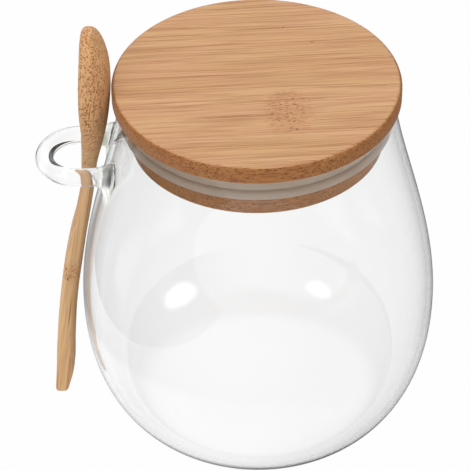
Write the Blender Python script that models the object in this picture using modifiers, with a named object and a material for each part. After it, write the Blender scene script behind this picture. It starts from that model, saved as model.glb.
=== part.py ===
"""Round glass storage jar with a bamboo lid, its silicone seal and a bamboo spoon.

The jar stands on z = 0 with its axis on Z. A glass loop is fused to its wall at -X, and the
spoon hangs in the loop with the back of its bowl against the lid's edge. All sizes are in metres.
"""

import math

import bmesh
import bpy
import numpy as np

# Jar: an egg-shaped shell, widest below the middle of its height
JAR_HEIGHT = 0.1094
JAR_RADIUS = 0.0500
MOUTH_RADIUS = 0.0372
WIDEST_HEIGHT = 0.0413
BASE_RADIUS = 0.0237
WALL = 0.0016
BASE_WALL = 0.0026
SHOULDER_START = 1.5
SHOULDER_END = 1.98
BELLY_SQUARENESS = 2.22

# Loop handle: a bent glass rod with a melted foot at each end
LOOP_HEIGHT = 0.0890
LOOP_CENTRE_X = -0.0487
LOOP_RADIUS = 0.0095
ROD_RADIUS = 0.00245
ROD_FLARE = 1.25
FOOT_THICKNESS = 0.0024
FOOT_WIDTH = 0.0036
FOOT_ABOVE = 0.0039
FOOT_BELOW = 0.0070

# Lid: a disc with a plug under it, turned from one piece of bamboo
LID_RADIUS = 0.0388
LID_THICKNESS = 0.0047
LID_TOP_ROUND = 0.0014
LID_BOTTOM_ROUND = 0.0004
PLUG_RADIUS = 0.0337
PLUG_DEPTH = 0.0137
PLUG_ROUND = 0.0007
GROOVE_RADIUS = 0.0322
GROOVE_HEIGHT = 0.0081

# Seal: a silicone band in the groove, with a tall rounded rib above and a lower one below
SEAL_GAP = 0.0003
SEAL_WAIST_RADIUS = 0.0341
UPPER_RIB_RADIUS = 0.0353
LOWER_RIB_RADIUS = 0.0358
UPPER_RIB_SHARE = 0.62
LOWER_RIB_SHARE = 0.33

# Spoon: lengths are measured down from the tip of the bowl, with the hollow facing -X
SPOON_TIP_HEIGHT = 0.1300
SPOON_LENGTH = 0.1271
BOWL_HALF_WIDTH = 0.0130
BOWL_WIDEST = 0.018
NECK_AT = 0.045
NECK_HALF_WIDTH = 0.0038
HANDLE_END_HALF_WIDTH = 0.0048
HANDLE_END_ROUND = 0.0030
BOWL_RIM = 0.0016
HOLLOW_DEPTH = 0.0046
HOLLOW_HALF_LENGTH = 0.0152
HOLLOW_HALF_WIDTH = 0.0108
HOLLOW_AT = 0.0180
HOLLOW_TILT = math.radians(4.0)

# Side view of the spoon: distance below the tip, x of the hollow's side, thickness there
SPOON_SIDE = (
    (0.000, -0.0460, 0.0029),
    (0.004, -0.0467, 0.0057),
    (0.010, -0.0473, 0.0079),
    (0.018, -0.0475, 0.0084),
    (0.026, -0.0475, 0.0075),
    (0.034, -0.0477, 0.0060),
    (0.042, -0.0481, 0.0044),
    (0.050, -0.0487, 0.0038),
    (0.058, -0.0502, 0.0039),
    (0.067, -0.0525, 0.0045),
    (0.076, -0.0544, 0.0049),
    (0.085, -0.0559, 0.0049),
    (0.094, -0.0572, 0.0050),
    (0.108, -0.0587, 0.0052),
    (0.118, -0.0595, 0.0052),
    (SPOON_LENGTH, -0.0603, 0.0036),
)

TURN_STEPS = 56
MERGE = 0.00001


def clear_scene():
    for thing in list(bpy.data.objects):
        bpy.data.objects.remove(thing, do_unlink=True)


def new_collection(name):
    collection = bpy.data.collections.new(name)
    bpy.context.scene.collection.children.link(collection)
    return collection


def make_material(name, colour, roughness, transmission=0.0, ior=1.5):
    material = bpy.data.materials.new(name)
    material.use_nodes = True
    shader = material.node_tree.nodes["Principled BSDF"]
    shader.inputs["Base Color"].default_value = (*colour, 1.0)
    shader.inputs["Roughness"].default_value = roughness
    shader.inputs["Metallic"].default_value = 0.0
    shader.inputs["Transmission Weight"].default_value = transmission
    shader.inputs["IOR"].default_value = ior
    return material


def add_object(name, mesh, collection, material=None):
    thing = bpy.data.objects.new(name, mesh)
    collection.objects.link(thing)
    if material is not None:
        mesh.materials.append(material)
    return thing


def hide_as_cutter(thing):
    thing.hide_render = True
    thing.display_type = "WIRE"


def turned(name, profile, collection, material=None):
    """Turn (radius, height) points about Z; they run up the inside and down the outside."""
    mesh = bpy.data.meshes.new(name)
    vertices = [(radius, 0.0, height) for radius, height in profile]
    edges = [(i, i + 1) for i in range(len(vertices) - 1)]
    mesh.from_pydata(vertices, edges, [])
    thing = add_object(name, mesh, collection, material)
    screw = thing.modifiers.new("turn", "SCREW")
    screw.axis = "Z"
    screw.steps = TURN_STEPS
    screw.render_steps = TURN_STEPS
    screw.use_merge_vertices = True
    screw.merge_threshold = MERGE
    screw.use_smooth_shade = True
    return thing


def combine(thing, other, operation):
    modifier = thing.modifiers.new(f"{operation.lower()}_{other.name}", "BOOLEAN")
    modifier.operation = operation
    modifier.solver = "EXACT"
    modifier.object = other


def arc(centre, radius, start, end, count):
    """Points on a circle in the profile's plane, from one angle in degrees to another."""
    angles = np.radians(np.linspace(start, end, count))
    return [(centre[0] + radius * math.cos(a), centre[1] + radius * math.sin(a)) for a in angles]


def wall_curve(count=11):
    """Outer surface of the jar from just under the rim to the edge of its flat base."""
    top = JAR_HEIGHT - WALL / 2
    down = np.linspace(0.0, 1.0, count)
    spread = 1 - (1 - down ** SHOULDER_START) ** SHOULDER_END
    upper_radius = MOUTH_RADIUS + (JAR_RADIUS - MOUTH_RADIUS) * spread
    upper_height = top - (top - WIDEST_HEIGHT) * down
    turn = np.radians(np.linspace(0.0, 90.0, count))[1:]
    power = 2 / BELLY_SQUARENESS
    lower_radius = BASE_RADIUS + (JAR_RADIUS - BASE_RADIUS) * np.abs(np.cos(turn)) ** power
    lower_height = WIDEST_HEIGHT * (1 - np.sin(turn) ** power)
    lower_radius[-1] = BASE_RADIUS
    radius = np.concatenate([upper_radius, lower_radius])
    height = np.concatenate([upper_height, lower_height])
    return np.column_stack([radius, height])


def inward(curve, share=1.0):
    """The wall's outer curve moved in by a share of its thickness, which grows at the base."""
    along = np.gradient(curve, axis=0)
    along[0] = (0.0, -1.0)
    along[-1] = (-1.0, 0.0)
    along /= np.linalg.norm(along, axis=1)[:, None]
    normal = np.column_stack([along[:, 1], -along[:, 0]])
    low = np.clip(1 - curve[:, 1] / WIDEST_HEIGHT, 0.0, 1.0)
    thickness = WALL + (BASE_WALL - WALL) * low ** 3
    return curve + normal * thickness[:, None] * share


def jar_shell(collection, material):
    outer = wall_curve()
    inner = inward(outer)
    rim = arc((MOUTH_RADIUS - WALL / 2, JAR_HEIGHT - WALL / 2), WALL / 2, 180, 0, 7)[1:-1]
    floor = [(0.0, inner[-1][1])]
    base = [(0.0, 0.0)]
    profile = floor + list(inner[::-1]) + rim + list(outer) + base
    return turned("glass_jar", profile, collection, material)


def wall_middle(collection):
    """A solid as wide as the middle of the jar's wall, which trims the ends of the loop."""
    middle = inward(wall_curve(), 0.5)
    profile = [(0.0, middle[0][1])] + list(middle) + [(0.0, middle[-1][1])]
    thing = turned("wall_middle", profile, collection)
    hide_as_cutter(thing)
    return thing


def wall_radius_at(height):
    curve = wall_curve(60)
    return float(np.interp(height, curve[::-1, 1], curve[::-1, 0]))


def loop_path():
    """The rod's route and its thickness factor: an arm, half a turn and the other arm."""
    wall = wall_radius_at(LOOP_HEIGHT)
    arm_end = -math.sqrt(wall ** 2 - LOOP_RADIUS ** 2) + 2 * WALL
    arm = np.linspace(arm_end, LOOP_CENTRE_X, 7)
    flare = 1 + (ROD_FLARE - 1) * np.linspace(1.0, 0.0, 7) ** 2
    turn = np.radians(np.linspace(90, 270, 19))[1:-1]
    route = [(x, LOOP_RADIUS, f) for x, f in zip(arm, flare)]
    route += [(LOOP_CENTRE_X + LOOP_RADIUS * math.cos(a), LOOP_RADIUS * math.sin(a), 1.0) for a in turn]
    route += [(x, -LOOP_RADIUS, f) for x, f in zip(arm[::-1], flare[::-1])]
    return route


def curve_to_mesh(thing, collection):
    """A closed mesh object in place of a curve, with its end caps welded on."""
    evaluated = thing.evaluated_get(bpy.context.evaluated_depsgraph_get())
    mesh = bpy.data.meshes.new_from_object(evaluated)
    shape = bmesh.new()
    shape.from_mesh(mesh)
    bmesh.ops.remove_doubles(shape, verts=shape.verts, dist=MERGE)
    bmesh.ops.recalc_face_normals(shape, faces=shape.faces)
    shape.to_mesh(mesh)
    shape.free()
    name = thing.name
    place = thing.matrix_world.copy()
    bpy.data.objects.remove(thing, do_unlink=True)
    solid = add_object(name, mesh, collection)
    solid.matrix_world = place
    return solid


def loop_rod(collection):
    curve = bpy.data.curves.new("loop_rod", "CURVE")
    curve.dimensions = "3D"
    curve.bevel_depth = ROD_RADIUS
    curve.bevel_resolution = 4
    curve.use_fill_caps = True
    route = loop_path()
    spline = curve.splines.new("POLY")
    spline.points.add(len(route) - 1)
    for point, (x, y, factor) in zip(spline.points, route):
        point.co = (x, y, LOOP_HEIGHT, 1.0)
        point.radius = factor
    rod = bpy.data.objects.new("loop_rod", curve)
    collection.objects.link(rod)
    bpy.context.view_layer.update()
    solid = curve_to_mesh(rod, collection)
    hide_as_cutter(solid)
    return solid


def melted_foot(name, side, collection):
    """The drop of glass where an arm of the loop meets the wall, longer below the rod."""
    wall = wall_radius_at(LOOP_HEIGHT)
    mesh = bpy.data.meshes.new(name)
    shape = bmesh.new()
    bmesh.ops.create_uvsphere(shape, u_segments=20, v_segments=12, radius=1.0)
    tall = (FOOT_ABOVE + FOOT_BELOW) / 2
    bmesh.ops.scale(shape, verts=shape.verts, vec=(FOOT_THICKNESS, FOOT_WIDTH, tall))
    shape.to_mesh(mesh)
    shape.free()
    foot = add_object(name, mesh, collection)
    across = -math.sqrt(wall ** 2 - LOOP_RADIUS ** 2)
    foot.location = (across, side * LOOP_RADIUS, LOOP_HEIGHT + (FOOT_ABOVE - FOOT_BELOW) / 2)
    around = math.atan2(side * LOOP_RADIUS, across)
    lean = math.radians(-16)
    foot.rotation_euler = (0.0, lean, around)
    hide_as_cutter(foot)
    return foot


def glass_jar(collection, cutters, material):
    jar = jar_shell(collection, material)
    rod = loop_rod(cutters)
    for name, side in (("foot_back", 1), ("foot_front", -1)):
        combine(rod, melted_foot(name, side, cutters), "UNION")
    combine(rod, wall_middle(cutters), "DIFFERENCE")
    combine(jar, rod, "UNION")
    return jar


def lid_underside():
    return JAR_HEIGHT + SEAL_GAP


def bamboo_lid(collection, material):
    under = lid_underside()
    top = under + LID_THICKNESS
    upper_edge = arc((LID_RADIUS - LID_TOP_ROUND, top - LID_TOP_ROUND), LID_TOP_ROUND, 90, 0, 6)
    lower_edge = arc((LID_RADIUS - LID_BOTTOM_ROUND, under + LID_BOTTOM_ROUND), LID_BOTTOM_ROUND, 0, -90, 3)
    groove_bottom = under - GROOVE_HEIGHT
    plug_bottom = under - PLUG_DEPTH
    groove = [(GROOVE_RADIUS, under), (GROOVE_RADIUS, groove_bottom)]
    plug_top = arc((PLUG_RADIUS - PLUG_ROUND / 2, groove_bottom - PLUG_ROUND / 2), PLUG_ROUND / 2, 90, 0, 3)
    plug_edge = arc((PLUG_RADIUS - PLUG_ROUND, plug_bottom + PLUG_ROUND), PLUG_ROUND, 0, -90, 4)
    profile = [(0.0, top)] + upper_edge + lower_edge + groove + plug_top + plug_edge + [(0.0, plug_bottom)]
    return turned("bamboo_lid", profile, collection, material)


def silicone_seal(collection, material):
    """A closed ring: flat inside, and outside a rib, a narrow waist and a second rib."""
    inside = GROOVE_RADIUS + SEAL_GAP
    top = lid_underside() - SEAL_GAP
    bottom = lid_underside() - GROOVE_HEIGHT + SEAL_GAP
    height = top - bottom
    upper = rib_curve(top, top - height * UPPER_RIB_SHARE, UPPER_RIB_RADIUS)
    lower = rib_curve(bottom + height * LOWER_RIB_SHARE, bottom, LOWER_RIB_RADIUS)
    profile = [(inside, bottom), (inside, top)] + upper + lower + [(inside, bottom)]
    return turned("silicone_seal", profile, collection, material)


def rib_curve(top, bottom, radius, count=5):
    """A rib's outer side, bulging from the seal's waist like half of a squarish oval."""
    middle = (top + bottom) / 2
    turn = np.radians(np.linspace(90, -90, count))
    out = SEAL_WAIST_RADIUS + (radius - SEAL_WAIST_RADIUS) * np.abs(np.cos(turn)) ** 0.5
    out[[0, -1]] = SEAL_WAIST_RADIUS
    height = middle + (top - bottom) / 2 * np.sin(turn)
    return [(float(r), float(z)) for r, z in zip(out, height)]


def smooth_through(stations, at):
    """A smooth curve through a table's rows, worked out for each column at the given places."""
    table = np.array(stations)
    places, values = table[:, 0], table[:, 1:]
    slopes = np.gradient(values, places, axis=0)
    row = np.clip(np.searchsorted(places, at, side="right") - 1, 0, len(places) - 2)
    width = (places[row + 1] - places[row])[:, None]
    part = ((at - places[row])[:, None]) / width
    start = values[row] * (1 + 2 * part) * (1 - part) ** 2 + slopes[row] * width * part * (1 - part) ** 2
    end = values[row + 1] * (3 - 2 * part) * part ** 2 + slopes[row + 1] * width * (part - 1) * part ** 2
    return start + end


def spoon_half_width(at):
    """Half of the spoon's width: an oval bowl, a neck, and a handle that widens to a round end."""
    tip = BOWL_HALF_WIDTH * np.sqrt(np.clip(1 - (1 - at / BOWL_WIDEST) ** 2, 0.0, 1.0))
    ease = np.clip((at - BOWL_WIDEST) / (NECK_AT - BOWL_WIDEST), 0.0, 1.0)
    narrowing = NECK_HALF_WIDTH + (BOWL_HALF_WIDTH - NECK_HALF_WIDTH) * (1 + np.cos(np.pi * ease)) / 2
    along = np.clip((at - NECK_AT) / (SPOON_LENGTH - NECK_AT), 0.0, 1.0)
    handle = NECK_HALF_WIDTH + (HANDLE_END_HALF_WIDTH - NECK_HALF_WIDTH) * along
    width = np.where(at < BOWL_WIDEST, tip, np.where(at < NECK_AT, narrowing, handle))
    into_end = np.clip((at - SPOON_LENGTH + HANDLE_END_ROUND) / HANDLE_END_ROUND, 0.0, 1.0)
    return width * np.sqrt(1 - into_end ** 2.2)


def spoon_stations():
    """Places along the spoon, close together at its two ends."""
    near_tip = BOWL_WIDEST * (1 - np.cos(np.radians(np.linspace(7, 80, 9))))
    middle = np.linspace(BOWL_WIDEST, SPOON_LENGTH - HANDLE_END_ROUND, 24)
    near_end = SPOON_LENGTH - HANDLE_END_ROUND * (1 - np.sin(np.radians(np.linspace(18, 80, 5))))
    return np.concatenate([near_tip, middle, near_end])


def bamboo_spoon(collection, cutters, material, around=20):
    """A loft of rings: each is flat-sided towards -X and rounder at its back, towards the jar."""
    at = spoon_stations()
    side = smooth_through(SPOON_SIDE, at)
    face, thickness = side[:, 0], side[:, 1]
    half_width = spoon_half_width(at)
    bowl = np.clip((half_width - NECK_HALF_WIDTH) / (BOWL_HALF_WIDTH - NECK_HALF_WIDTH), 0.0, 1.0)
    front = thickness / 2 + (np.minimum(BOWL_RIM, thickness / 2) - thickness / 2) * bowl
    back = thickness - front
    turn = np.radians(np.arange(around) * 360 / around)
    squarish = 2 / 2.7
    out = np.sign(np.cos(turn)) * np.abs(np.cos(turn)) ** squarish
    across = np.sign(np.sin(turn)) * np.abs(np.sin(turn)) ** squarish
    shape = bmesh.new()
    rings = []
    for i, below in enumerate(at):
        centre = face[i] + front[i]
        height = SPOON_TIP_HEIGHT - below
        reach = np.where(out > 0, back[i], front[i]) * out
        ring = [shape.verts.new((centre + r, half_width[i] * a, height)) for r, a in zip(reach, across)]
        rings.append(ring)
    for above, under in zip(rings, rings[1:]):
        for i in range(around):
            j = (i + 1) % around
            shape.faces.new((above[i], under[i], under[j], above[j]))
    shape.faces.new(rings[0])
    shape.faces.new(rings[-1][::-1])
    bmesh.ops.recalc_face_normals(shape, faces=shape.faces)
    mesh = bpy.data.meshes.new("bamboo_spoon")
    shape.to_mesh(mesh)
    shape.free()
    mesh.shade_smooth()
    spoon = add_object("bamboo_spoon", mesh, collection, material)
    combine(spoon, bowl_hollow(cutters), "DIFFERENCE")
    return spoon


def bowl_hollow(collection):
    """An oval scoop that is cut into the bowl from its -X side."""
    mesh = bpy.data.meshes.new("bowl_hollow")
    shape = bmesh.new()
    bmesh.ops.create_uvsphere(shape, u_segments=28, v_segments=16, radius=1.0)
    size = (HOLLOW_DEPTH, HOLLOW_HALF_WIDTH, HOLLOW_HALF_LENGTH)
    bmesh.ops.scale(shape, verts=shape.verts, vec=size)
    shape.to_mesh(mesh)
    shape.free()
    hollow = add_object("bowl_hollow", mesh, collection)
    face = smooth_through(SPOON_SIDE, np.array([HOLLOW_AT]))[0, 0]
    hollow.location = (face, 0.0, SPOON_TIP_HEIGHT - HOLLOW_AT)
    hollow.rotation_euler = (0.0, HOLLOW_TILT, 0.0)
    hide_as_cutter(hollow)
    return hollow


def main():
    clear_scene()
    parts = new_collection("glass_storage_jar")
    cutters = new_collection("cutters")
    glass = make_material("borosilicate_glass", (0.97, 0.98, 0.98), 0.02, transmission=1.0, ior=1.47)
    lid_bamboo = make_material("carbonised_bamboo", (0.56, 0.33, 0.17), 0.55)
    spoon_bamboo = make_material("pale_bamboo", (0.62, 0.40, 0.21), 0.6)
    silicone = make_material("translucent_silicone", (0.36, 0.31, 0.27), 0.45, transmission=0.3, ior=1.41)
    glass_jar(parts, cutters, glass)
    bamboo_lid(parts, lid_bamboo)
    silicone_seal(parts, silicone)
    bamboo_spoon(parts, cutters, spoon_bamboo)


main()
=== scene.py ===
import math

import bmesh
import bpy
import numpy as np
from mathutils import Matrix, Vector


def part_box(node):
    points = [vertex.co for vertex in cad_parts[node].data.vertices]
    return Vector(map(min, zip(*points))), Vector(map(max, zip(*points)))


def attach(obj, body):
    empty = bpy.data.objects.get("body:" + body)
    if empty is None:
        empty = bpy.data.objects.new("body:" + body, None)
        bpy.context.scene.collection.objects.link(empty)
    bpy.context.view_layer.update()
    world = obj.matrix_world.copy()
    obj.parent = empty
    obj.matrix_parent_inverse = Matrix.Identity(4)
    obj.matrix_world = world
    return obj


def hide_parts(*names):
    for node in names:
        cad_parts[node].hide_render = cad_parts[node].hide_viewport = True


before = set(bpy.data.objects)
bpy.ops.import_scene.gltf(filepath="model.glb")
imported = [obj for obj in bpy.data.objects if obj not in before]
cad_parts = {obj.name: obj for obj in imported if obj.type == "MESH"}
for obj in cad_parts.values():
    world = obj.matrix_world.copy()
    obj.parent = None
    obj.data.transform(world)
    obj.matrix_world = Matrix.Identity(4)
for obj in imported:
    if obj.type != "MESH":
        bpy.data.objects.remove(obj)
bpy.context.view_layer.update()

print("frame loaded:", sorted(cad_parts))


# Shared helpers for colours, nodes, patterns and meshes

# patterns are laid out in millimetres, and Object coordinates are in metres
toMillimetres = (1000.0, 1000.0, 1000.0)


def toLinear(code):
    # sRGB hex to linear: v / 12.92 up to 0.04045, else ((v + 0.055) / 1.055) ^ 2.4
    values = np.array([int(code[i:i + 2], 16) for i in (1, 3, 5)]) / 255
    linear = np.where(values <= 0.04045, values / 12.92, ((values + 0.055) / 1.055) ** 2.4)
    return (*linear, 1.0)


def addNode(tree, kind, settings=None, links=None):
    # settings name a property of the node or one of its sockets, links give the output a socket reads
    node = tree.nodes.new("ShaderNode" + kind)
    for name, value in (settings or {}).items():
        if isinstance(name, str) and name in node.bl_rna.properties:
            setattr(node, name, value)
        else:
            node.inputs[name].default_value = value
    for name, source in (links or {}).items():
        tree.links.new(source, node.inputs[name])
    return node


def newMaterial(name, constants):
    # a material with a Principled shader, some of whose sockets get constant values
    material = bpy.data.materials.new(name)
    material.use_nodes = True
    shader = material.node_tree.nodes["Principled BSDF"]
    for socket, value in constants.items():
        shader.inputs[socket].default_value = value
    return material


def softSpot(tree, at, centre, halfSize, core):
    # 1 in the core of an oval, falling to 0 at its edge: f(|(p - centre) / halfSize|)
    off = addNode(tree, "VectorMath", {"operation": "SUBTRACT", 1: centre}, {0: at.outputs[0]})
    scaled = addNode(tree, "VectorMath", {"operation": "DIVIDE", 1: halfSize}, {0: off.outputs[0]})
    away = addNode(tree, "VectorMath", {"operation": "LENGTH"}, {0: scaled.outputs[0]})
    return addNode(tree, "MapRange", {"interpolation_type": "SMOOTHSTEP", "From Min": core, "From Max": 1.0,
                                      "To Min": 1.0, "To Max": 0.0}, {"Value": away.outputs["Value"]})


def streaks(tree, at, noise):
    # a noise with long cells: its scale is in cells a millimetre, smallest the way they run
    scaled = addNode(tree, "VectorMath", {"operation": "MULTIPLY", 1: noise["scale"]}, {0: at.outputs[0]})
    settings = {"Scale": 1.0, "Detail": noise["detail"], "Roughness": noise.get("roughness", 0.5)}
    return addNode(tree, "TexNoise", settings, {"Vector": scaled.outputs[0]})


def largest(tree, masks):
    # the greatest of several masks at each point
    total = masks[0]
    for mask in masks[1:]:
        total = addNode(tree, "Math", {"operation": "MAXIMUM"}, {0: total.outputs[0], 1: mask.outputs[0]})
    return total


def gridQuads(rows, columns, closed):
    # quads on a grid whose columns run round, and whose last row joins the first one if it is closed
    i, j = np.meshgrid(np.arange(rows if closed else rows - 1), np.arange(columns), indexing="ij")
    nextRow, nextColumn = (i + 1) % rows, (j + 1) % columns
    row, rowAfter = i * columns, nextRow * columns
    return np.stack([row + j, row + nextColumn, rowAfter + nextColumn, rowAfter + j], -1).reshape(-1, 4)


def smoothMesh(name, points, faces):
    # a smooth-shaded mesh whose faces point outwards
    mesh = bpy.data.meshes.new(name)
    mesh.from_pydata(points.tolist(), [], faces)
    shape = bmesh.new()
    shape.from_mesh(mesh)
    bmesh.ops.recalc_face_normals(shape, faces=shape.faces)
    shape.to_mesh(mesh)
    shape.free()
    mesh.shade_smooth()
    return mesh


def closedSurface(name, rings, firstPoint, lastPoint):
    # rings[i, j] is point j of ring i: quads join neighbouring rings, fans close both ends
    rows, columns = rings.shape[:2]
    edge = np.arange(columns)
    first, last = rows * columns, (rows - 1) * columns
    opening = np.stack([np.full(columns, first), (edge + 1) % columns, edge], -1)
    closing = np.stack([np.full(columns, first + 1), last + edge, last + (edge + 1) % columns], -1)
    points = np.vstack([rings.reshape(-1, 3), [firstPoint], [lastPoint]])
    faces = gridQuads(rows, columns, False).tolist() + opening.tolist() + closing.tolist()
    return smoothMesh(name, points, faces)


def turned(profile, angles):
    # a profile of (radius, height) carried round the axis: (r cos a, r sin a, h)
    radius, height = profile[:, :1], profile[:, 1:]
    return np.stack([radius * np.cos(angles), radius * np.sin(angles), height + 0 * angles], -1)


def arcPoints(centre, radius, start, end, count):
    # centre + radius (cos t, sin t) with t from start to end in degrees
    turn = np.radians(np.linspace(start, end, count))
    return np.column_stack([centre[0] + radius * np.cos(turn), centre[1] + radius * np.sin(turn)])


def addPiece(name, mesh, material, node):
    # a piece of the object, in place of the CAD solid of that node
    piece = bpy.data.objects.new(name, mesh)
    bpy.context.scene.collection.objects.link(piece)
    mesh.materials.clear()
    mesh.materials.append(material)
    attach(piece, "root")
    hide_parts(node)
    return piece


# Glass jar: a blown shell with a bent rod melted onto its wall

jarLook = {
    "radius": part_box("glass_jar")[1].x,
    "height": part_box("glass_jar")[1].z,
    "mouthRadius": 0.0372,
    "widestHeight": 0.0413,
    "baseRadius": 0.0237,
    "wall": 0.0016,
    "baseWall": 0.0020,
    "baseWallPower": 10,
    "shoulderPowers": (1.5, 1.98),
    "bellyPower": 2.22,
    # the grid is finer between these heights and within this angle of the rod, where it is melted on
    "fineHeights": (0.099, 0.075),
    "fineAngle": 24.0,
    "seamWidth": 0.0016,
    "seamRounds": 12,
    "seamPull": 0.6,
}
loopLook = {
    "height": 0.0890,
    "centreX": -0.0487,
    "radius": 0.0095,
    "rodRadius": 0.00245,
    "flare": 0.25,
    "fillet": 0.0007,
    "filletLength": 0.0009,
    "footHeight": 0.0023,
    "footCentre": 0.0882,
    "footHalfWidth": 0.0040,
    "footAbove": 0.0048,
    "footBelow": 0.0076,
    "fluteDepth": 0.06,
    "fluteSpacing": 0.0013,
}
# the feet's places and sizes are in millimetres here, and the fold's scale in cells a millimetre
glassLook = {
    "refraction": 1.47,
    "clearTone": "#fcfcfc",
    # the grey of edge-on upright walls is a painted dark reflection of the dark room around the glass
    "paintedEdgeShadeTone": "#4a504e",
    "edgePower": 6.0,
    "uprightBelow": 0.25,
    "levelAbove": 0.70,
    "footCentres": ((-40.8, -9.5, 86.5), (-40.8, 9.5, 86.5)),
    "footHalfSize": (3.6, 4.6, 8.2),
    "footCore": 0.45,
    "footTone": "#ffffff",
    "footShade": "#b4bbaa",
    "footCloud": 0.88,
    # the feet's glow is painted light, an emission on glass that is no lamp
    "footPaintedGlow": 0.45,
    "fold": {"scale": (0.9, 0.9, 0.10), "detail": 2.0},
    "foldRange": (0.38, 0.62),
}


def outerWall(jar, upperHeights, lowerCount):
    # above the belly r = mouth + (belly - mouth)(1 - (1 - u^a)^b), u from 0 at the rim to 1 at the
    # belly; below it a quarter of a superellipse down to the edge of the flat base
    top = jar["height"] - jar["wall"] / 2
    a, b = jar["shoulderPowers"]
    u = (top - upperHeights) / (top - jar["widestHeight"])
    upper = jar["mouthRadius"] + (jar["radius"] - jar["mouthRadius"]) * (1 - (1 - u ** a) ** b)
    turn = np.radians(np.linspace(0, 90, lowerCount + 1))[1:]
    power = 2 / jar["bellyPower"]
    lower = jar["baseRadius"] + (jar["radius"] - jar["baseRadius"]) * np.abs(np.cos(turn)) ** power
    lower[-1] = jar["baseRadius"]
    lowerHeights = jar["widestHeight"] * (1 - np.sin(turn) ** power)
    return np.column_stack([np.concatenate([upper, lower]), np.concatenate([upperHeights, lowerHeights])])


def wallNormals(curve):
    # outward normals of a (radius, height) curve that runs downwards
    along = np.gradient(curve, axis=0)
    along[0], along[-1] = (0, -1), (-1, 0)
    along /= np.linalg.norm(along, axis=1)[:, None]
    return np.column_stack([-along[:, 1], along[:, 0]])


def movedIn(jar, curve, share):
    # the wall's outer curve moved in by a share of its thickness, which grows towards the base
    low = np.clip(1 - curve[:, 1] / jar["widestHeight"], 0, 1)
    thickness = jar["wall"] + (jar["baseWall"] - jar["wall"]) * low ** jar["baseWallPower"]
    return curve - wallNormals(curve) * (thickness * share)[:, None]


def footHill(loop, radius, height, angle, side):
    # a drop of glass on the wall: H (1 - (s/w)^2 - (t/l)^2)^2, s across it and t along it, l longer
    # below, with shallow upright flutes 1 + d cos(2 pi s / spacing)
    across = radius * (angle - (np.pi - side * np.arcsin(loop["radius"] / radius)))
    along = height - loop["footCentre"]
    reach = np.where(along > 0, loop["footAbove"], loop["footBelow"])
    inside = np.clip(1 - (across / loop["footHalfWidth"]) ** 2 - (along / reach) ** 2, 0, 1)
    flutes = 1 + loop["fluteDepth"] * np.cos(2 * np.pi * across / loop["fluteSpacing"])
    return loop["footHeight"] * inside ** 2 * flutes


def jarShell(jar, loop):
    # inner wall, rim and outer wall as one profile carried round the axis, with the two feet pushed out
    top = jar["height"] - jar["wall"] / 2
    fineTop, fineBottom = jar["fineHeights"]
    heights = np.concatenate([
        np.linspace(top, fineTop, 13)[:-1],
        np.linspace(fineTop, fineBottom, 61)[:-1],
        np.linspace(fineBottom, jar["widestHeight"], 28),
    ])
    outer = outerWall(jar, heights, lowerCount=44)
    inner = movedIn(jar, outerWall(jar, np.linspace(top, jar["widestHeight"], 52), lowerCount=38), 1.0)
    rim = arcPoints((jar["mouthRadius"] - jar["wall"] / 2, top), jar["wall"] / 2, 180, 0, 15)[1:-1]
    nearLoop = np.linspace(180 - jar["fineAngle"], 180 + jar["fineAngle"], 97)
    elsewhere = np.linspace(180 + jar["fineAngle"], 540 - jar["fineAngle"], 181)[1:-1]
    angles = np.radians(np.concatenate([nearLoop, elsewhere]))
    hill = sum(footHill(loop, outer[:, :1], outer[:, 1:], angles[None, :] % (2 * np.pi), side)
               for side in (1, -1))
    push = turned(wallNormals(outer), angles)
    wallRings = turned(outer, angles) + push * hill[..., None]
    rings = np.concatenate([turned(inner[::-1], angles), turned(rim, angles), wallRings])
    return closedSurface("jarShell", rings, (0, 0, inner[-1, 1]), (0, 0, 0))


def behindWall(curve, height, y):
    # x where a turned wall stands on the loop's side, at a height and a distance y from the middle
    return -np.sqrt(np.interp(height, curve[::-1, 1], curve[::-1, 0]) ** 2 - y ** 2)


def loopTube(jar, loop):
    # a round rod along arm, half circle and arm; each arm's end follows the middle of the wall, and the
    # rod gets thicker towards it: r (1 + flare s^2) + fillet e^(-d / length)
    roundCount, armCount, turnCount = 48, 26, 97
    fineHeights = np.linspace(jar["height"] - jar["wall"] / 2, jar["widestHeight"], 200)
    wall = outerWall(jar, fineHeights, lowerCount=40)
    middle = movedIn(jar, wall, 0.5)
    circle = np.radians(np.arange(roundCount) * 360 / roundCount)
    share = np.linspace(1, 0, armCount)[:, None]
    armLength = behindWall(wall, loop["height"], loop["radius"]) - loop["centreX"]
    beyond = (1 - share) * armLength - loop["footHeight"]
    fillet = loop["fillet"] * np.exp(-np.maximum(beyond, 0) / loop["filletLength"])
    thick = loop["rodRadius"] * (1 + loop["flare"] * share ** 2) + fillet
    y = loop["radius"] + thick * np.cos(circle)
    z = loop["height"] + thick * np.sin(circle)
    x = loop["centreX"] + (behindWall(middle, z, y) - loop["centreX"]) * share
    arm = np.stack([x, y, z], -1)
    turn = np.radians(np.linspace(90, 270, turnCount))[1:-1, None]
    out = loop["radius"] + loop["rodRadius"] * np.cos(circle)
    bend = np.stack([loop["centreX"] + out * np.cos(turn), out * np.sin(turn),
                     loop["height"] + loop["rodRadius"] * np.sin(circle) + 0 * turn], -1)
    rings = np.concatenate([arm, bend, arm[::-1] * (1, -1, 1)])
    endX = behindWall(middle, loop["height"], loop["radius"])
    ends = [(endX, side * loop["radius"], loop["height"]) for side in (1, -1)]
    return closedSurface("loopTube", rings, ends[0], ends[1])


def fromMesh(items, attribute, width, kind):
    # one attribute of a mesh's points, edges or faces as a flat array
    values = np.zeros(len(items) * width, kind)
    items.foreach_get(attribute, values)
    return values


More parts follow.
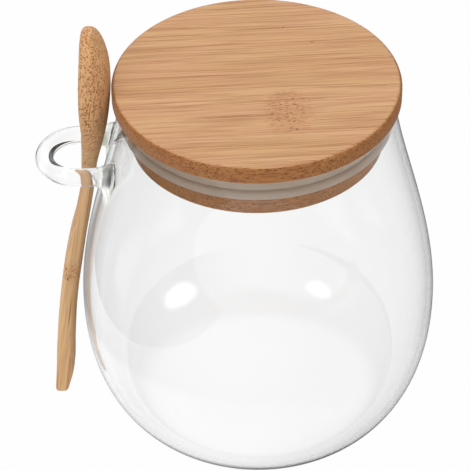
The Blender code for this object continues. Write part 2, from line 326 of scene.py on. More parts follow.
def melted(mesh, seamWidth, rounds, pull):
    # points within seamWidth of the line where two materials meet drift to their neighbours' mean
    count = len(mesh.vertices)
    co = fromMesh(mesh.vertices, "co", 3, np.float32).reshape(-1, 3).astype(float)
    edges = fromMesh(mesh.edges, "vertices", 2, int).reshape(-1, 2)
    corners = fromMesh(mesh.loops, "vertex_index", 1, int)
    sizes = fromMesh(mesh.polygons, "loop_total", 1, int)
    kind = np.repeat(fromMesh(mesh.polygons, "material_index", 1, int), sizes)
    touches = np.zeros((count, 2), bool)
    touches[corners[kind == 0], 0] = True
    touches[corners[kind == 1], 1] = True
    seam = co[touches.all(1)]
    middle = seam.mean(0)
    nearby = np.nonzero(np.abs(co - middle).max(1) < np.abs(seam - middle).max() + seamWidth)[0]
    gap = np.full(count, np.inf)
    for part in np.array_split(nearby, len(nearby) // 2000 + 1):
        gap[part] = np.linalg.norm(co[part, None] - seam[None], axis=2).min(1)
    weight = np.sqrt(np.clip(1 - gap / seamWidth, 0, 1))[:, None]
    neighbours = np.bincount(edges.ravel(), minlength=count)[:, None]
    for _ in range(rounds):
        total = np.zeros_like(co)
        np.add.at(total, edges[:, 0], co[edges[:, 1]])
        np.add.at(total, edges[:, 1], co[edges[:, 0]])
        co += (total / neighbours - co) * weight * pull
    mesh.vertices.foreach_set("co", co.astype(np.float32).ravel())
    mesh.update()


def borosilicateGlass(look):
    # borosilicate glass, blown and flame-worked: clear and mirror smooth; where an upright wall is seen
    # edge-on its colour turns grey, a painted dark reflection that stands for the dark room around it
    material = newMaterial("blownBorosilicateGlass", {"Roughness": 0.0, "IOR": look["refraction"]})
    tree = material.node_tree
    slant = addNode(tree, "LayerWeight", {"Blend": 0.5})
    place = addNode(tree, "TexCoord")
    facing = addNode(tree, "SeparateXYZ", links={0: place.outputs["Normal"]})
    level = addNode(tree, "Math", {"operation": "ABSOLUTE"}, {0: facing.outputs["Z"]})
    upright = addNode(tree, "MapRange", {"From Min": look["uprightBelow"], "From Max": look["levelAbove"],
                                         "To Min": 1.0, "To Max": 0.0}, {"Value": level.outputs[0]})
    # painted reflection: the colour darkens to grey where an upright wall is seen edge-on
    rim = addNode(tree, "Math", {"operation": "POWER", 1: look["edgePower"]}, {0: slant.outputs["Facing"]})
    edge = addNode(tree, "Math", {"operation": "MULTIPLY"}, {0: rim.outputs[0], 1: upright.outputs[0]})
    clearTintAndPaintedEdge = addNode(tree, "Mix", {"data_type": "RGBA", 6: toLinear(look["clearTone"]),
                                 7: toLinear(look["paintedEdgeShadeTone"])}, {0: edge.outputs[0]})

    # where the rod is melted onto the wall the glass is drawn out in upright folds that scatter the light
    at = addNode(tree, "VectorMath", {"operation": "MULTIPLY", 1: toMillimetres},
                 {0: place.outputs["Object"]})
    foot = largest(tree, [softSpot(tree, at, centre, look["footHalfSize"], look["footCore"])
                          for centre in look["footCentres"]])
    folds = streaks(tree, at, look["fold"])
    fold = addNode(tree, "MapRange", {"From Min": look["foldRange"][0], "From Max": look["foldRange"][1]},
                   {"Value": folds.outputs["Fac"]})
    cloud = addNode(tree, "Mix", {"data_type": "RGBA", 6: toLinear(look["footShade"]),
                                  7: toLinear(look["footTone"])}, {0: fold.outputs[0]})
    colour = addNode(tree, "Mix", {"data_type": "RGBA"},
                     {0: foot.outputs[0], 6: clearTintAndPaintedEdge.outputs[2], 7: cloud.outputs[2]})
    clear = addNode(tree, "Math", {"operation": "MULTIPLY_ADD", 1: -look["footCloud"], 2: 1.0},
                    {0: foot.outputs[0]})
    # painted light: the folds glow a little, an emission that stands for light carried along the rod and
    # let out there
    glow = addNode(tree, "Math", {"operation": "MULTIPLY", 1: look["footPaintedGlow"]}, {0: foot.outputs[0]})

    shader = tree.nodes["Principled BSDF"]
    tree.links.new(colour.outputs[2], shader.inputs["Base Color"])
    tree.links.new(clear.outputs[0], shader.inputs["Transmission Weight"])
    tree.links.new(cloud.outputs[2], shader.inputs["Emission Color"])
    tree.links.new(glow.outputs[0], shader.inputs["Emission Strength"])
    return material


def makeJar(jar, loop):
    # the rod is joined to the shell, and the seam between them is melted smooth
    shell = bpy.data.objects.new("jarShell", jarShell(jar, loop))
    tube = bpy.data.objects.new("loopTube", loopTube(jar, loop))
    for part, side in ((shell, "shellSide"), (tube, "tubeSide")):
        bpy.context.scene.collection.objects.link(part)
        part.data.materials.append(bpy.data.materials.new(side))
    union = shell.modifiers.new("join", "BOOLEAN")
    union.operation = "UNION"
    union.solver = "EXACT"
    union.material_mode = "TRANSFER"
    union.object = tube
    joined = bpy.data.meshes.new_from_object(shell.evaluated_get(bpy.context.evaluated_depsgraph_get()))
    bpy.data.objects.remove(shell)
    bpy.data.objects.remove(tube)
    shape = bmesh.new()
    shape.from_mesh(joined)
    bmesh.ops.triangulate(shape, faces=[face for face in shape.faces if len(face.verts) > 4])
    shape.to_mesh(joined)
    shape.free()
    melted(joined, jar["seamWidth"], jar["seamRounds"], jar["seamPull"])
    joined.polygons.foreach_set("material_index", np.zeros(len(joined.polygons), int))
    joined.shade_smooth()
    joined.name = "jarGlass"
    return addPiece("jarGlass", joined, borosilicateGlass(glassLook), "glass_jar")


# Bamboo: one material builder for the lid and the spoon, with its fibres along the local X

# what both share; a noise's scale is in cells a millimetre, along the grain and the two ways across it
bambooLook = {
    "knuckleCore": 0.35,
    "pitCore": 0.3,
    "stripJump": (90.0, 0.0, 30.0),
    "bundleDisorder": 0.85,
    "wander": {"scale": (0.022, 0.06, 0.06), "detail": 1.0},
    "tangle": {"scale": (0.28, 0.35, 0.35), "detail": 2.0},
    "broken": {"scale": (0.035, 0.9, 0.9), "detail": 1.0},
    # single fibres are too fine to show, so they are drawn as streaks a few tenths of a millimetre wide
    "fine": {"scale": (0.030, 1.5, 1.5), "detail": 3.0, "roughness": 0.7},
    "band": {"scale": (0.010, 0.30, 0.30), "detail": 2.0},
    "patch": {"scale": (0.05, 0.12, 0.12), "detail": 1.0},
    "brokenRange": (0.42, 0.58),
    "fineRange": (0.42, 0.72),
    "bandRange": (0.35, 0.70),
    "patchRange": (0.35, 0.65),
    "lineTone": "#b0804e",
    "specular": 0.35,
    "bumpStrength": 0.25,
    "bumpDistance": 0.0001,
}


def grainSpace(tree, local, stripDraw, knuckle, look):
    # coordinates that follow the fibres: each strip is another cane, so the grain jumps from one to the
    # next; it drifts slowly to the side, and more and faster in a knuckle
    jump = addNode(tree, "VectorMath", {"operation": "MULTIPLY", 1: bambooLook["stripJump"]},
                   {0: stripDraw.outputs["Color"]})
    ownCane = addNode(tree, "VectorMath", {"operation": "ADD"}, {0: local.outputs[0], 1: jump.outputs[0]})
    aside = {}
    for kind in ("wander", "tangle"):
        noise = streaks(tree, ownCane, bambooLook[kind])
        off = addNode(tree, "VectorMath", {"operation": "SUBTRACT", 1: (0.5, 0.5, 0.5)},
                      {0: noise.outputs["Color"]})
        aside[kind] = addNode(tree, "VectorMath", {"operation": "MULTIPLY", 1: (0, look[kind], look[kind])},
                              {0: off.outputs[0]})
    tangled = addNode(tree, "VectorMath", {"operation": "SCALE"},
                      {0: aside["tangle"].outputs[0], "Scale": knuckle.outputs[0]})
    drifted = addNode(tree, "VectorMath", {"operation": "ADD"},
                      {0: ownCane.outputs[0], 1: aside["wander"].outputs[0]})
    return addNode(tree, "VectorMath", {"operation": "ADD"}, {0: drifted.outputs[0], 1: tangled.outputs[0]})


def bundleLines(tree, grain, side, look):
    # bundles run the whole length: cells in the cross-section, dark at the core, some of them faint,
    # and their lines fade here and there except on the turned side
    across = addNode(tree, "SeparateXYZ", links={0: grain.outputs[0]})
    section = addNode(tree, "CombineXYZ", links={"X": across.outputs["Y"], "Y": across.outputs["Z"]})
    bundles = addNode(tree, "TexVoronoi", {"voronoi_dimensions": "2D", "Scale": 1 / look["bundlePitch"],
                                           "Randomness": bambooLook["bundleDisorder"]},
                      {"Vector": section.outputs[0]})
    core = addNode(tree, "MapRange", {"interpolation_type": "SMOOTHSTEP", "From Min": look["bundleCore"],
                                      "From Max": look["bundleEdge"], "To Min": 1.0, "To Max": 0.0},
                   {"Value": bundles.outputs["Distance"]})
    draw = addNode(tree, "SeparateColor", links={0: bundles.outputs["Color"]})
    uneven = addNode(tree, "MapRange", {"To Min": look["faintest"], "To Max": 1.0},
                     {"Value": draw.outputs[0]})
    broken = streaks(tree, grain, bambooLook["broken"])
    low, high = bambooLook["brokenRange"]
    unbroken = addNode(tree, "MapRange", {"From Min": low, "From Max": high, "To Min": look["gapFaint"],
                                          "To Max": 1.0}, {"Value": broken.outputs["Fac"]})
    whole = largest(tree, [unbroken, side])
    strong = addNode(tree, "Math", {"operation": "MULTIPLY"}, {0: core.outputs[0], 1: uneven.outputs[0]})
    broad = addNode(tree, "Math", {"operation": "MULTIPLY"}, {0: strong.outputs[0], 1: whole.outputs[0]})
    depth = addNode(tree, "MapRange", {"To Min": look["lineDepth"], "To Max": look["sideLineDepth"]},
                    {"Value": side.outputs[0]})
    return addNode(tree, "Math", {"operation": "MULTIPLY"}, {0: broad.outputs[0], 1: depth.outputs[0]})


def cutDashes(tree, grain, knuckle, side, look):
    # short dashes where a knuckle or the turned side cuts the bundles
    cells = addNode(tree, "VectorMath", {"operation": "MULTIPLY", 1: look["stubScale"]},
                    {0: grain.outputs[0]})
    stubs = addNode(tree, "TexVoronoi", {"Scale": 1.0, "Randomness": look["stubDisorder"]},
                    {"Vector": cells.outputs[0]})
    dashes = addNode(tree, "MapRange", {"interpolation_type": "SMOOTHSTEP", "From Min": look["stubCore"],
                                        "From Max": look["stubEdge"], "To Min": 1.0, "To Max": 0.0},
                     {"Value": stubs.outputs["Distance"]})
    inKnuckle = addNode(tree, "Math", {"operation": "MULTIPLY", 1: look["dashDepth"]},
                        {0: knuckle.outputs[0]})
    onSide = addNode(tree, "Math", {"operation": "MULTIPLY", 1: look["sideDashDepth"]},
                     {0: side.outputs[0]})
    share = largest(tree, [inKnuckle, onSide])
    return addNode(tree, "Math", {"operation": "MULTIPLY"}, {0: dashes.outputs[0], 1: share.outputs[0]})


def bambooMaterial(name, look):
    # sawn and sanded bamboo: bundles of fibres run the length, so they show as thin dark lines along the
    # grain and as dots where the surface cuts across them; sizes are in millimetres
    material = newMaterial(name, {"Roughness": look["roughness"],
                                  "Specular IOR Level": bambooLook["specular"]})
    tree = material.node_tree
    place = addNode(tree, "TexCoord")
    local = addNode(tree, "Mapping", {"Rotation": look["turn"], "Scale": toMillimetres},
                    {"Vector": place.outputs["Object"]})
    knuckle = largest(tree, [softSpot(tree, local, centre, halfSize, bambooLook["knuckleCore"])
                             for centre, halfSize in look["knuckles"]])
    pit = largest(tree, [softSpot(tree, local, centre, halfSize, bambooLook["pitCore"])
                         for centre, halfSize in look["pits"]])

    # glued strips, each with a tone and a grain of its own
    parts = addNode(tree, "SeparateXYZ", links={0: local.outputs[0]})
    stripAt = addNode(tree, "Math", {"operation": "MULTIPLY_ADD", 1: 1 / look["stripWidth"],
                                     2: look["stripStart"]}, {0: parts.outputs["Y"]})
    strip = addNode(tree, "Math", {"operation": "FLOOR"}, {0: stripAt.outputs[0]})
    stripDraw = addNode(tree, "TexWhiteNoise", {"noise_dimensions": "1D"}, {"W": strip.outputs[0]})
    grain = grainSpace(tree, local, stripDraw, knuckle, look)

    # on the upright faces turned on the lathe the cut bundles show more as lines and dashes, and the tone
    # is deeper: partly the bamboo's own, partly painted shade for light that falls from above
    slope = addNode(tree, "SeparateXYZ", links={0: place.outputs["Normal"]})
    level = addNode(tree, "Math", {"operation": "ABSOLUTE"}, {0: slope.outputs["Z"]})
    side = addNode(tree, "MapRange", {"interpolation_type": "SMOOTHSTEP", "From Min": look["sideFrom"],
                                      "From Max": look["sideTo"], "To Min": 1.0, "To Max": 0.0},
                   {"Value": level.outputs[0]})
    dark = largest(tree, [bundleLines(tree, grain, side, look),
                          cutDashes(tree, grain, knuckle, side, look), pit])

    # the cane's own colour: patches of two hues; on the turned side another pair of tones, darker partly by
    # their own colour and partly by painted shade
    patch = streaks(tree, grain, bambooLook["patch"])
    low, high = bambooLook["patchRange"]
    hue = addNode(tree, "MapRange", {"From Min": low, "From Max": high}, {"Value": patch.outputs["Fac"]})
    warm = addNode(tree, "Mix", {"data_type": "RGBA", 6: toLinear(look["pinkTone"]),
                                 7: toLinear(look["yellowTone"])}, {0: hue.outputs[0]})
    aboveToneChange = addNode(tree, "MapRange", {"From Min": look["toneChangeHeight"] - look["toneChangeOver"],
                                       "From Max": look["toneChangeHeight"]}, {"Value": parts.outputs["Z"]})
    sideColourAndShade = addNode(tree, "Mix", {"data_type": "RGBA", 6: toLinear(look["lowTone"]),
                                       7: toLinear(look["sideToneAndShade"])}, {0: aboveToneChange.outputs[0]})
    # painted shade: upright faces take the darker side colour, partly the bamboo's own tone and partly
    # shade for light from above
    sideToneAndShadeShare = addNode(tree, "Math", {"operation": "MULTIPLY", 1: look["sideToneAndShadeDepth"]}, {0: side.outputs[0]})
    base = addNode(tree, "Mix", {"data_type": "RGBA"},
                   {0: sideToneAndShadeShare.outputs[0], 6: warm.outputs[2], 7: sideColourAndShade.outputs[2]})

    # darker strips, broad bands along the grain and knuckles
    band = streaks(tree, grain, bambooLook["band"])
    stripTone = addNode(tree, "MapRange", {"To Min": 0.0, "To Max": look["stripDepth"]},
                        {"Value": stripDraw.outputs["Value"]})
    low, high = bambooLook["bandRange"]
    bandTone = addNode(tree, "MapRange", {"From Min": low, "From Max": high, "To Min": 0.0,
                                          "To Max": look["bandDepth"]}, {"Value": band.outputs["Fac"]})
    toneSum = addNode(tree, "Math", {"operation": "ADD", "use_clamp": True},
                      {0: stripTone.outputs[0], 1: bandTone.outputs[0]})
    tone = addNode(tree, "Math", {"operation": "MULTIPLY_ADD", 1: look["knuckleDepth"], "use_clamp": True},
                   {0: knuckle.outputs[0], 2: toneSum.outputs[0]})
    banded = addNode(tree, "Mix", {"data_type": "RGBA", "blend_type": "MULTIPLY",
                                   7: toLinear(look["bandTone"])}, {0: tone.outputs[0], 6: base.outputs[2]})

    # fine fibres between the bundles, then the bundles, dashes and pits themselves
    fine = streaks(tree, grain, bambooLook["fine"])
    low, high = bambooLook["fineRange"]
    fineShare = addNode(tree, "MapRange", {"From Min": low, "From Max": high, "To Min": 0.0,
                                           "To Max": look["fineDepth"]}, {"Value": fine.outputs["Fac"]})
    colour = banded
    for share in (fineShare, dark):
        colour = addNode(tree, "Mix", {"data_type": "RGBA", "blend_type": "MULTIPLY",
                                       7: toLinear(bambooLook["lineTone"])},
                         {0: share.outputs[0], 6: colour.outputs[2]})
    relief = addNode(tree, "Math", {"operation": "MULTIPLY_ADD", 1: -1.0},
                     {0: dark.outputs[0], 2: fine.outputs["Fac"]})
    bump = addNode(tree, "Bump", {"Strength": bambooLook["bumpStrength"],
                                  "Distance": bambooLook["bumpDistance"]}, {"Height": relief.outputs[0]})
    shader = tree.nodes["Principled BSDF"]
    tree.links.new(colour.outputs[2], shader.inputs["Base Color"])
    tree.links.new(bump.outputs[0], shader.inputs["Normal"])
    return material


# Lid: a disc with a plug under it

lidLook = {
    "radius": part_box("bamboo_lid")[1].x,
    "top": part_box("bamboo_lid")[1].z,
    "thickness": 0.0047,
    "topRound": 0.0014,
    "bottomRound": 0.0004,
    "plugRadius": 0.0337,
    "plugDepth": 0.0137,
    "plugRound": 0.0007,
    "grooveRadius": 0.0322,
    "grooveHeight": 0.0081,
    "hubRadius": 0.002,
    "sides": 240,
    "sharpAngle": 50.0,
    "turn": (0.0, 0.0, math.radians(-4.2)),
    # centre and half size of each, in millimetres along the grain and the two ways across it
    "knuckles": (((7.0, -15.2, 110.0), (8.5, 13.0, 30.0)),),
    "pits": (
        ((8.9, -11.8, 114.0), (0.7, 0.4, 3.0)),
        ((8.7, -22.7, 114.0), (0.7, 0.4, 3.0)),
        ((16.3, 15.9, 114.0), (0.6, 0.3, 3.0)),
        ((9.1, 23.7, 114.0), (0.6, 0.3, 3.0)),
    ),
    "stripWidth": 20.7,
    "stripStart": 0.19,
    "stripDepth": 0.15,
    "wander": 1.6,
    "tangle": 2.2,
    "bundlePitch": 0.55,
    "bundleCore": 0.12,
    "bundleEdge": 0.24,
    "faintest": 0.45,
    "gapFaint": 0.4,
    "stubScale": (0.55, 1.9, 1.9),
    "stubDisorder": 1.0,
    "stubCore": 0.13,
    "stubEdge": 0.40,
    "pinkTone": "#cea077",
    "yellowTone": "#cda274",
    "bandTone": "#dcbf98",
    "bandDepth": 0.25,
    "knuckleDepth": 0.26,
    "lineDepth": 0.75,
    "sideLineDepth": 1.0,
    "dashDepth": 1.0,
    "sideDashDepth": 1.0,
    "fineDepth": 0.58,
    "sideFrom": 0.72,
    "sideTo": 0.95,
    # the darker side tone is partly the bamboo's own and partly painted shade
    "sideToneAndShade": "#aa713a",
    "lowTone": "#d9964c",
    "sideToneAndShadeDepth": 0.92,
    # the disc's side is darker than the plug's: one tone gives way to the other at this height
    "toneChangeHeight": 109.6,
    "toneChangeOver": 0.3,
    "roughness": 0.55,
}


def makeLid(lid):
    # discs, rounds and the groove as one profile carried round the axis
    under = lid["top"] - lid["thickness"]
    grooveFloor, plugFloor = under - lid["grooveHeight"], under - lid["plugDepth"]
    large, small = lid["topRound"], lid["plugRound"]
    low, upper = lid["bottomRound"], lid["plugRound"] / 2
    flatRadii = np.linspace(lid["hubRadius"], lid["radius"] - large, 20)[:-1]
    profile = np.concatenate([
        np.column_stack([flatRadii, np.full_like(flatRadii, lid["top"])]),
        arcPoints((lid["radius"] - large, lid["top"] - large), large, 90, 0, 14),
        arcPoints((lid["radius"] - low, under + low), low, 0, -90, 6),
        [(lid["grooveRadius"], under), (lid["grooveRadius"], grooveFloor)],
        arcPoints((lid["plugRadius"] - upper, grooveFloor - upper), upper, 90, 0, 6),
        arcPoints((lid["plugRadius"] - small, plugFloor + small), small, 0, -90, 8),
        [(lid["hubRadius"], plugFloor)],
    ])
    rings = turned(profile, np.radians(np.arange(lid["sides"]) * 360 / lid["sides"]))
    mesh = closedSurface("lidBamboo", rings, (0, 0, lid["top"]), (0, 0, plugFloor))
    mesh.set_sharp_from_angle(angle=math.radians(lid["sharpAngle"]))
    bamboo = bambooMaterial("sandedCarbonisedBamboo", lid)
    return addPiece("lidBamboo", mesh, bamboo, "bamboo_lid")


# Seal: a moulded ring with two soft ribs

sealLook = {
    "gap": 0.0003,
    "waistRadius": 0.0341,
    "upperRibRadius": 0.0353,
    "lowerRibRadius": 0.0358,
    "upperRibShare": 0.62,
    "lowerRibShare": 0.33,
    "ribPower": 0.5,
    "sides": 240,
    "sharpAngle": 60.0,
    "tone": "#f6dfc6",
    "roughness": 0.4,
    "refraction": 1.41,
    "transmission": 0.25,
}


def ribPoints(seal, top, bottom, radius):
    # half of a squarish oval that bulges from the waist: r = waist + (rib - waist) |cos t|^power
    turn = np.radians(np.linspace(90, -90, 15))
    bulge = np.abs(np.cos(turn)) ** seal["ribPower"]
    out = seal["waistRadius"] + (radius - seal["waistRadius"]) * bulge
    return np.column_stack([out, (top + bottom) / 2 + (top - bottom) / 2 * np.sin(turn)])


def siliconeMaterial(look):
    # moulded food-grade silicone: milky, soft to the light, satin
    return newMaterial("milkySilicone", {
        "Base Color": toLinear(look["tone"]),
        "Roughness": look["roughness"],
        "IOR": look["refraction"],
        "Transmission Weight": look["transmission"],
    })


def makeSeal(seal, lid):
    # the ring fills the lid's groove but for a small gap: its closed outline is carried round the axis
    top = lid["top"] - lid["thickness"] - seal["gap"]
    bottom = lid["top"] - lid["thickness"] - lid["grooveHeight"] + seal["gap"]
    inside = lid["grooveRadius"] + seal["gap"]
    height = top - bottom
    outline = np.concatenate([
        [(inside, bottom), (inside, top)],
        ribPoints(seal, top, top - height * seal["upperRibShare"], seal["upperRibRadius"]),
        ribPoints(seal, bottom + height * seal["lowerRibShare"], bottom, seal["lowerRibRadius"]),
    ])
    rings = turned(outline, np.radians(np.arange(seal["sides"]) * 360 / seal["sides"]))
    faces = gridQuads(len(outline), seal["sides"], True).tolist()
    mesh = smoothMesh("sealSilicone", rings.reshape(-1, 3), faces)
    mesh.set_sharp_from_angle(angle=math.radians(seal["sharpAngle"]))
    return addPiece("sealSilicone", mesh, siliconeMaterial(seal), "silicone_seal")


# Spoon: a carved bamboo spoon that hangs in the loop, its hollow facing -X

spoonLook = {
    "tipHeight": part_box("bamboo_spoon")[1].z,
    "length": 0.1271,
    "bowlHalfWidth": 0.0130,
    "bowlWidest": 0.018,
    "neckAt": 0.045,
    "neckHalfWidth": 0.0038,
    "endHalfWidth": 0.0048,
    "endRound": 0.0030,
    "endPower": 2.2,
    "bowlRim": 0.0016,
    "hollowSize": (0.0046, 0.0108, 0.0152),
    "hollowAt": 0.0180,
    "hollowTilt": math.radians(4.0),
    # the cross-section's power at the bowl and on the handle, and where it starts and stops to grow
    "sectionPowers": (2.7, 4.0),
    "squaring": (0.04, 0.07),
    "sharpAngle": 60.0,
    # distance below the tip, x of the hollow's side, thickness there
    "sideView": (
        (0.000, -0.0460, 0.0029),
        (0.004, -0.0467, 0.0057),
        (0.010, -0.0473, 0.0079),
        (0.018, -0.0475, 0.0084),
        (0.026, -0.0475, 0.0075),
        (0.034, -0.0477, 0.0060),
        (0.042, -0.0481, 0.0044),
        (0.050, -0.0487, 0.0038),
        (0.058, -0.0502, 0.0039),
        (0.067, -0.0525, 0.0045),
        (0.076, -0.0544, 0.0049),
        (0.085, -0.0559, 0.0049),
        (0.094, -0.0572, 0.0050),
        (0.108, -0.0587, 0.0052),
        (0.118, -0.0595, 0.0052),
        (0.1271, -0.0603, 0.0036),
    ),
    "turn": (0.0, math.radians(81.4), 0.0),
    # one knuckle covers the bowl and one sits on the handle, with two pits below it
    "knuckles": (((108.0, 0.0, 61.0), (34.0, 40.0, 40.0)), ((42.0, 0.0, 60.0), (6.0, 9.0, 9.0))),
    "pits": (((43.0, -5.0, 61.3), (0.8, 3.0, 0.35)), ((39.6, -5.0, 60.6), (0.9, 3.0, 0.35))),
    "stripWidth": 60.0,
    "stripStart": 0.5,
    "stripDepth": 0.0,
    "wander": 1.2,
    "tangle": 1.2,
    "bundlePitch": 0.70,
    "bundleCore": 0.12,
    "bundleEdge": 0.30,
    "faintest": 0.3,
    "gapFaint": 0.35,
    "stubScale": (1.1, 1.35, 1.35),
    "stubDisorder": 0.75,
    "stubCore": 0.18,
    "stubEdge": 0.48,
    "pinkTone": "#e3b88b",
    "yellowTone": "#e6be88",
    "bandTone": "#d6b190",
    "bandDepth": 0.4,
    "knuckleDepth": 0.15,
    "lineDepth": 0.9,
    "sideLineDepth": 0.9,
    "dashDepth": 0.85,
    "sideDashDepth": 0.0,
    "fineDepth": 0.4,
    # carved, not turned on a lathe, so it has no darker side tone and no painted side shade
    "sideFrom": 0.0,
    "sideTo": 0.01,
    "sideToneAndShade": "#c8945c",
    "lowTone": "#c8945c",
    "sideToneAndShadeDepth": 0.0,
    "toneChangeHeight": 0.0,
    "toneChangeOver": 0.3,
    "roughness": 0.6,
}


def throughStations(stations, at):
    # a smooth curve through the rows: cubic Hermite pieces with the table's own slopes
    table = np.array(stations)
    places, values = table[:, 0], table[:, 1:]
    slopes = np.gradient(values, places, axis=0)
    row = np.clip(np.searchsorted(places, at, side="right") - 1, 0, len(places) - 2)
    width = (places[row + 1] - places[row])[:, None]
    part = (at - places[row])[:, None] / width
    start = values[row] * (1 + 2 * part) * (1 - part) ** 2 + slopes[row] * width * part * (1 - part) ** 2
    end = values[row + 1] * (3 - 2 * part) * part ** 2 + slopes[row + 1] * width * (part - 1) * part ** 2
    return start + end


def spoonHalfWidth(spoon, at):
    # an oval bowl, a cosine ease into the neck, and a handle that widens to a round end
    tip = spoon["bowlHalfWidth"] * np.sqrt(np.clip(1 - (1 - at / spoon["bowlWidest"]) ** 2, 0, 1))
    ease = np.clip((at - spoon["bowlWidest"]) / (spoon["neckAt"] - spoon["bowlWidest"]), 0, 1)
    slim = spoon["bowlHalfWidth"] - spoon["neckHalfWidth"]
    narrowing = spoon["neckHalfWidth"] + slim * (1 + np.cos(np.pi * ease)) / 2
    along = np.clip((at - spoon["neckAt"]) / (spoon["length"] - spoon["neckAt"]), 0, 1)
    handle = spoon["neckHalfWidth"] + (spoon["endHalfWidth"] - spoon["neckHalfWidth"]) * along
    width = np.where(at < spoon["bowlWidest"], tip, np.where(at < spoon["neckAt"], narrowing, handle))
    into = np.clip((at - spoon["length"] + spoon["endRound"]) / spoon["endRound"], 0, 1)
    return width * np.sqrt(1 - into ** spoon["endPower"])


def spoonStations(spoon):
    # distances below the tip, closer together at the tip and at the end
    tipPart = spoon["bowlWidest"] * (1 - np.cos(np.radians(np.linspace(4, 90, 34))))
    middlePart = np.linspace(spoon["bowlWidest"], spoon["length"] - spoon["endRound"], 170)[1:]
    endPart = spoon["length"] - spoon["endRound"] * (1 - np.sin(np.radians(np.linspace(0, 86, 14)[1:])))
    return np.concatenate([tipPart, middlePart, endPart])


def spoonRings(spoon, around):
    # rings of superellipses, |cos|^(2/n) by |sin|^(2/n), squarer along the handle; on the hollow's
    # side the surface is pushed in to an ellipsoid: x = x0 + d sqrt(1 - (y/a)^2 - (z/b)^2)
    at = spoonStations(spoon)
    side = throughStations(spoon["sideView"], at)
    face, thickness = side[:, :1], side[:, 1:]
    halfWidth = spoonHalfWidth(spoon, at)[:, None]
    slim = spoon["bowlHalfWidth"] - spoon["neckHalfWidth"]
    bowl = np.clip((halfWidth - spoon["neckHalfWidth"]) / slim, 0, 1)
    front = thickness / 2 + (np.minimum(spoon["bowlRim"], thickness / 2) - thickness / 2) * bowl
    bowlPower, handlePower = spoon["sectionPowers"]
    growFrom, growTo = spoon["squaring"]
    square = np.clip((at[:, None] - growFrom) / (growTo - growFrom), 0, 1)
    power = 2 / (bowlPower + (handlePower - bowlPower) * square)
    turn = np.radians(np.arange(around) * 360 / around)[None, :]
    out = np.sign(np.cos(turn)) * np.abs(np.cos(turn)) ** power
    across = np.sign(np.sin(turn)) * np.abs(np.sin(turn)) ** power
    x = face + front + np.where(out > 0, thickness - front, front) * out
    y = halfWidth * across
    z = (spoon["tipHeight"] - at)[:, None] + 0 * y
    depth, wide, tall = spoon["hollowSize"]
    centreX = throughStations(spoon["sideView"], np.array([spoon["hollowAt"]]))[0, 0]
    below = z - (spoon["tipHeight"] - spoon["hollowAt"])
    dish = np.clip(1 - (y / wide) ** 2 - (below / tall) ** 2, 0, 1)
    hollowX = centreX + depth * np.sqrt(dish) + math.tan(spoon["hollowTilt"]) * below
    x = np.where((out < 0) & (dish > 0), np.maximum(x, hollowX), x)
    return np.stack([x, y, z], -1), (face + front)[:, 0]


def makeSpoon(spoon):
    # the rings are closed by a point at the tip and one at the handle's end
    rings, middleX = spoonRings(spoon, around=96)
    first = (middleX[0], 0, spoon["tipHeight"])
    last = (middleX[-1], 0, spoon["tipHeight"] - spoon["length"])
    mesh = closedSurface("spoonBamboo", rings, first, last)
    mesh.set_sharp_from_angle(angle=math.radians(spoon["sharpAngle"]))
    bamboo = bambooMaterial("sandedPaleBamboo", spoon)
    piece = addPiece("spoonBamboo", mesh, bamboo, "bamboo_spoon")
    # the photograph hardly shows the spoon mirrored in the jar's side
    piece.visible_glossy = False
    return piece


makeJar(jarLook, loopLook)
print("glass made")
makeLid(lidLook)
makeSeal(sealLook, lidLook)
print("lid and seal made")
makeSpoon(spoonLook)
print("spoon made")


# Studio: a white floor that glows, a dim room with soft lamps, a softbox, a flag and the camera

# azimuths run from +X towards +Y, and all angles are in degrees
studioLook = {
    "floorSize": 6.0,
    "floorGap": 0.0004,
    "floorColour": "#ffffff",
    "floorGlow": 0.99,
    "roomLight": 0.35,
    "belowLight": 1.0,
    "belowFrom": -0.64,
    "belowTo": -0.70,
    # darker on the right and on the camera's side
    "darkSides": (
        {"azimuth": 20.0, "elevation": -15.0, "inner": 50.0, "outer": 95.0, "share": 0.8},
        {"azimuth": -90.0, "elevation": 5.0, "inner": 20.0, "outer": 75.0, "share": 0.7},
    ),
    # two round ones that show in the glass, two wide fills, and two below the horizon for its edges
    "lamps": (
        {"azimuth": -25.0, "elevation": 26.0, "inner": 3.0, "outer": 16.0, "light": 5.0},
        {"azimuth": -141.0, "elevation": 32.0, "inner": 1.0, "outer": 12.0, "light": 3.5},
        {"azimuth": 90.0, "elevation": 45.0, "inner": 20.0, "outer": 50.0, "light": 1.0},
        {"azimuth": -110.0, "elevation": 14.0, "inner": 10.0, "outer": 70.0, "light": 0.8},
        {"azimuth": 138.0, "elevation": -26.0, "inner": 10.0, "outer": 34.0, "light": 0.55},
        {"azimuth": 42.0, "elevation": -30.0, "inner": 18.0, "outer": 36.0, "light": 0.3},
    ),
    "softboxSize": 0.7,
    "softboxPlace": (-0.05, 0.10, 0.85),
    "softboxPower": 2.7,
    "flagEdges": (-0.60, -0.115, -0.30, 0.50),
    "flagColour": "#050505",
}
cameraLook = {
    "pitch": 39.93,
    "distance": 0.63875,
    "aimHeight": 0.06038,
    "sensor": 36.0,
    "lens": 173.8,
    "roll": -0.39,
    "shiftX": -0.0485,
    "clip": (0.01, 20.0),
}


def levelCard(name, left, right, near, far, height, material):
    # one level rectangle that belongs to the studio and not to the object
    mesh = bpy.data.meshes.new(name)
    corners = [(left, near, height), (right, near, height), (right, far, height), (left, far, height)]
    mesh.from_pydata(corners, [], [(0, 1, 2, 3)])
    mesh.materials.append(material)
    card = bpy.data.objects.new(name, mesh)
    bpy.context.scene.collection.objects.link(card)
    return card


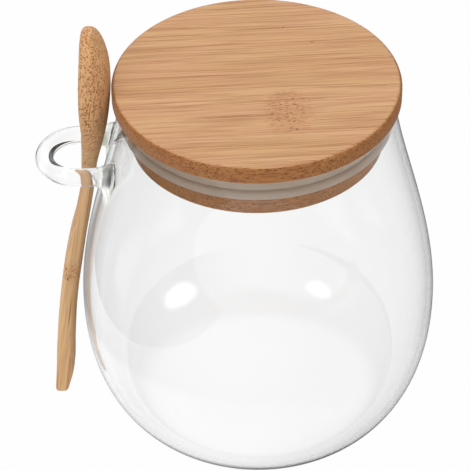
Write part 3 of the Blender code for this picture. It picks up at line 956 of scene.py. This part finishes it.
def makeFloor(studio):
    # backlit white acrylic table: it glows evenly, so bright that no shadow shows on it
    acrylic = newMaterial("backlitWhiteAcrylic", {
        "Base Color": toLinear("#000000"),
        "Roughness": 1.0,
        "Specular IOR Level": 0.0,
        "Emission Color": toLinear(studio["floorColour"]),
        "Emission Strength": studio["floorGlow"],
    })
    half = studio["floorSize"] / 2
    floor = levelCard("floor", -half, half, -half, half, -studio["floorGap"], acrylic)
    # its mirror image in the glass is left to the dim lower half of the studio, as between dark flags
    floor.visible_glossy = False


def skySpot(tree, place, spot, outside, inside):
    # a value that goes from outside to inside within a soft-edged circle of the sky
    azimuth, elevation = math.radians(spot["azimuth"]), math.radians(spot["elevation"])
    level = math.cos(elevation)
    aim = (math.cos(azimuth) * level, math.sin(azimuth) * level, math.sin(elevation))
    toward = addNode(tree, "VectorMath", {"operation": "DOT_PRODUCT", 1: aim},
                     {0: place.outputs["Generated"]})
    return addNode(tree, "MapRange", {"interpolation_type": "SMOOTHSTEP",
                                      "From Min": math.cos(math.radians(spot["outer"])),
                                      "From Max": math.cos(math.radians(spot["inner"])),
                                      "To Min": outside, "To Max": inside},
                   {"Value": toward.outputs["Value"]})


def makeSky(studio):
    # light by direction: a dim room, bright straight below, darker to two sides, and the soft lamps
    world = bpy.data.worlds.new("softStudio")
    bpy.context.scene.world = world
    world.use_nodes = True
    tree = world.node_tree
    place = addNode(tree, "TexCoord")
    parts = addNode(tree, "SeparateXYZ", links={0: place.outputs["Generated"]})
    total = addNode(tree, "MapRange", {"interpolation_type": "SMOOTHSTEP", "From Min": studio["belowFrom"],
                                       "From Max": studio["belowTo"], "To Min": studio["roomLight"],
                                       "To Max": studio["belowLight"]}, {"Value": parts.outputs["Z"]})
    for dark in studio["darkSides"]:
        shade = skySpot(tree, place, dark, 1.0, 1.0 - dark["share"])
        total = addNode(tree, "Math", {"operation": "MULTIPLY"}, {0: total.outputs[0], 1: shade.outputs[0]})
    for lamp in studio["lamps"]:
        glow = skySpot(tree, place, lamp, 0.0, lamp["light"])
        total = addNode(tree, "Math", {"operation": "ADD"}, {0: total.outputs[0], 1: glow.outputs[0]})
    tree.links.new(total.outputs[0], tree.nodes["Background"].inputs["Color"])


def makeSoftbox(studio):
    # a wide soft light above the jar, kept out of the mirror images in the glass
    data = bpy.data.lights.new("softbox", "AREA")
    data.shape = "SQUARE"
    data.size = studio["softboxSize"]
    data.energy = studio["softboxPower"]
    softbox = bpy.data.objects.new("softbox", data)
    softbox.location = studio["softboxPlace"]
    softbox.rotation_euler = Vector(studio["softboxPlace"]).to_track_quat("Z", "Y").to_euler()
    softbox.visible_glossy = False
    softbox.visible_transmission = False
    bpy.context.scene.collection.objects.link(softbox)


def makeFlag(studio):
    # a black felt flag on the left that only the light bent by the glass meets: it draws the dark edges
    # of the rod
    felt = newMaterial("blackFeltFlag", {
        "Base Color": toLinear(studio["flagColour"]),
        "Roughness": 1.0,
        "Specular IOR Level": 0.0,
    })
    flag = levelCard("flag", *studio["flagEdges"], 0.0, felt)
    flag.visible_camera = False
    flag.visible_diffuse = False
    flag.visible_glossy = False
    flag.visible_shadow = False


def makeCamera(look):
    # it looks down at the jar's axis from the front by the pitch, and is rolled a little
    data = bpy.data.cameras.new("camera")
    data.sensor_width = look["sensor"]
    data.lens = look["lens"]
    data.shift_x = look["shiftX"]
    data.clip_start, data.clip_end = look["clip"]
    camera = bpy.data.objects.new("camera", data)
    bpy.context.scene.collection.objects.link(camera)
    pitch = math.radians(look["pitch"])
    back = Vector((0, -math.cos(pitch), math.sin(pitch)))
    turn = (-back).to_track_quat("-Z", "Y").to_matrix().to_4x4()
    place = Matrix.Translation(Vector((0, 0, look["aimHeight"])) + back * look["distance"])
    camera.matrix_world = place @ turn @ Matrix.Rotation(math.radians(look["roll"]), 4, "Z")
    bpy.context.scene.camera = camera


makeFloor(studioLook)
makeSky(studioLook)
makeSoftbox(studioLook)
makeFlag(studioLook)
makeCamera(cameraLook)
bpy.context.scene.view_settings.view_transform = "Standard"
print("studio made")
